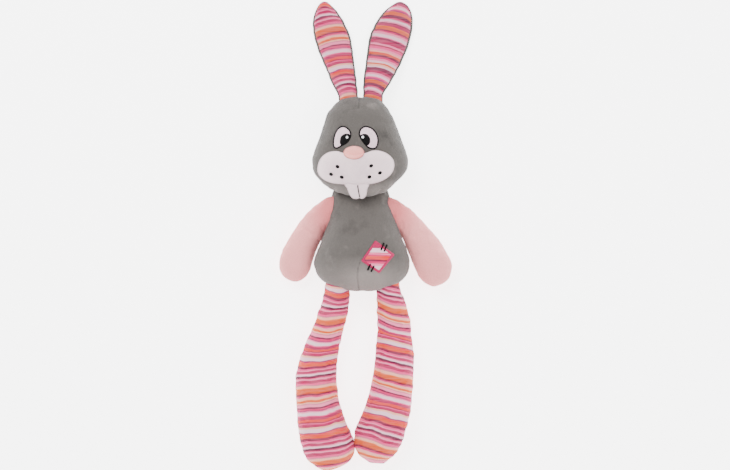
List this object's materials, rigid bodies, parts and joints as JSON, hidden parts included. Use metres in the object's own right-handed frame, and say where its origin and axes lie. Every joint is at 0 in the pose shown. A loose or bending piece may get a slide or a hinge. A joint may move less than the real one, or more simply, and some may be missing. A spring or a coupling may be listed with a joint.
{
  "type": "stuffed rabbit toy",
  "caption": "Soft plush rabbit with long legs and ears of striped cotton, an embroidered face, jointed at its sewn seams and lying on its back.",
  "frame": {"origin": "centre of the outline, on the surface that the rabbit lies on", "axes": "+Z is the way the face looks, straight up from that surface; +Y runs from the feet to the ears; +X is the rabbit's own left"},
  "size_m": [0.2012, 0.5529, 0.0933],
  "materials": {
    "black_thread": "satin stitch",
    "grey_plush": "short-pile plush",
    "nose_plush": "short-pile plush",
    "patch_cotton": "woven cotton with a horizontal stripe print",
    "pink_plush": "short-pile plush",
    "pink_thread": "satin stitch",
    "printed_cotton": "woven cotton with a horizontal stripe print",
    "seam_thread": "sewing thread",
    "stuffing": "loose polyester fibre",
    "white_plush": "short-pile plush",
    "white_thread": "satin stitch"
  },
  "bodies": {
    "torso": {"body_front_panel": "grey_plush", "body_back_panel": "grey_plush", "body_stuffing": "stuffing", "belly_patch": "patch_cotton", "patch_border": "pink_thread", "patch_stitches": "black_thread"},
    "neck": {"neck_stitching": "seam_thread"},
    "head": {"head_front_panel": "grey_plush", "head_back_panel": "grey_plush", "head_stuffing": "stuffing", "muzzle_cover": "white_plush", "muzzle_wadding": "stuffing", "nose": "nose_plush", "right_eye_white": "white_thread", "right_eye_outline": "black_thread", "right_pupil": "black_thread", "right_eye_glint": "white_thread", "left_eye_white": "white_thread", "left_eye_outline": "black_thread", "left_pupil": "black_thread", "left_eye_glint": "white_thread", "right_whisker_spots": "black_thread", "left_whisker_spots": "black_thread"},
    "teeth": {"teeth_front": "white_plush", "teeth_back": "white_plush", "teeth_line": "black_thread"},
    "right_ear_root": {"right_ear_stitching": "seam_thread"},
    "right_ear": {"right_ear_front": "printed_cotton", "right_ear_back": "grey_plush", "right_ear_wadding": "stuffing"},
    "right_shoulder": {"right_shoulder_stitching": "seam_thread"},
    "right_arm": {"right_arm_front": "pink_plush", "right_arm_back": "pink_plush", "right_arm_stuffing": "stuffing"},
    "right_hip": {"right_hip_stitching": "seam_thread"},
    "right_leg": {"right_leg_front": "printed_cotton", "right_leg_back": "printed_cotton", "right_leg_stuffing": "stuffing"},
    "left_ear_root": {"left_ear_stitching": "seam_thread"},
    "left_ear": {"left_ear_front": "printed_cotton", "left_ear_back": "grey_plush", "left_ear_wadding": "stuffing"},
    "left_shoulder": {"left_shoulder_stitching": "seam_thread"},
    "left_arm": {"left_arm_front": "pink_plush", "left_arm_back": "pink_plush", "left_arm_stuffing": "stuffing"},
    "left_hip": {"left_hip_stitching": "seam_thread"},
    "left_leg": {"left_leg_front": "printed_cotton", "left_leg_back": "printed_cotton", "left_leg_stuffing": "stuffing"}
  },
  "joints": [
    {"name": "neck_turn", "type": "hinge", "parent": "torso", "child": "neck", "pos_m": [-0.0066, 0.0557, 0.029], "axis": [0, 1, 0], "range_deg": [-25, 25]},
    {"name": "neck_nod", "type": "hinge", "parent": "neck", "child": "head", "pos_m": [-0.0066, 0.0557, 0.029], "axis": [1, 0, 0], "range_deg": [-20, 20]},
    {"name": "teeth_lift", "type": "hinge", "parent": "head", "child": "teeth", "pos_m": [-0.0096, 0.057, 0.0758], "axis": [-1, 0, 0], "range_deg": [0, 60]},
    {"name": "right_ear_swing", "type": "hinge", "parent": "head", "child": "right_ear_root", "pos_m": [-0.0206, 0.1623, 0.029], "axis": [0, 0, 1], "range_deg": [-2, 20]},
    {"name": "right_ear_fold", "type": "hinge", "parent": "right_ear_root", "child": "right_ear", "pos_m": [-0.0206, 0.1623, 0.029], "axis": [1, 0, 0], "range_deg": [-30, 75]},
    {"name": "left_ear_swing", "type": "hinge", "parent": "head", "child": "left_ear_root", "pos_m": [0.0078, 0.1623, 0.029], "axis": [0, 0, -1], "range_deg": [-2, 20]},
    {"name": "left_ear_fold", "type": "hinge", "parent": "left_ear_root", "child": "left_ear", "pos_m": [0.0078, 0.1623, 0.029], "axis": [1, 0, 0], "range_deg": [-30, 75]},
    {"name": "right_arm_raise", "type": "hinge", "parent": "torso", "child": "right_shoulder", "pos_m": [-0.0462, 0.033, 0.03], "axis": [0, 0, -1], "range_deg": [0, 35]},
    {"name": "right_arm_fold", "type": "hinge", "parent": "right_shoulder", "child": "right_arm", "pos_m": [-0.0462, 0.033, 0.03], "axis": [0, 1, 0], "range_deg": [-10, 60]},
    {"name": "left_arm_raise", "type": "hinge", "parent": "torso", "child": "left_shoulder", "pos_m": [0.034, 0.034, 0.03], "axis": [0, 0, 1], "range_deg": [0, 35]},
    {"name": "left_arm_fold", "type": "hinge", "parent": "left_shoulder", "child": "left_arm", "pos_m": [0.034, 0.034, 0.03], "axis": [0, -1, 0], "range_deg": [-10, 60]},
    {"name": "right_leg_splay", "type": "hinge", "parent": "torso", "child": "right_hip", "pos_m": [-0.0336, -0.0654, 0.031], "axis": [0, 0, -1], "range_deg": [0, 20]},
    {"name": "right_leg_fold", "type": "hinge", "parent": "right_hip", "child": "right_leg", "pos_m": [-0.0336, -0.0654, 0.031], "axis": [-1, 0, 0], "range_deg": [-30, 80]},
    {"name": "left_leg_splay", "type": "hinge", "parent": "torso", "child": "left_hip", "pos_m": [0.026, -0.065, 0.031], "axis": [0, 0, 1], "range_deg": [0, 20]},
    {"name": "left_leg_fold", "type": "hinge", "parent": "left_hip", "child": "left_leg", "pos_m": [0.026, -0.065, 0.031], "axis": [-1, 0, 0], "range_deg": [-30, 80]}
  ]
}
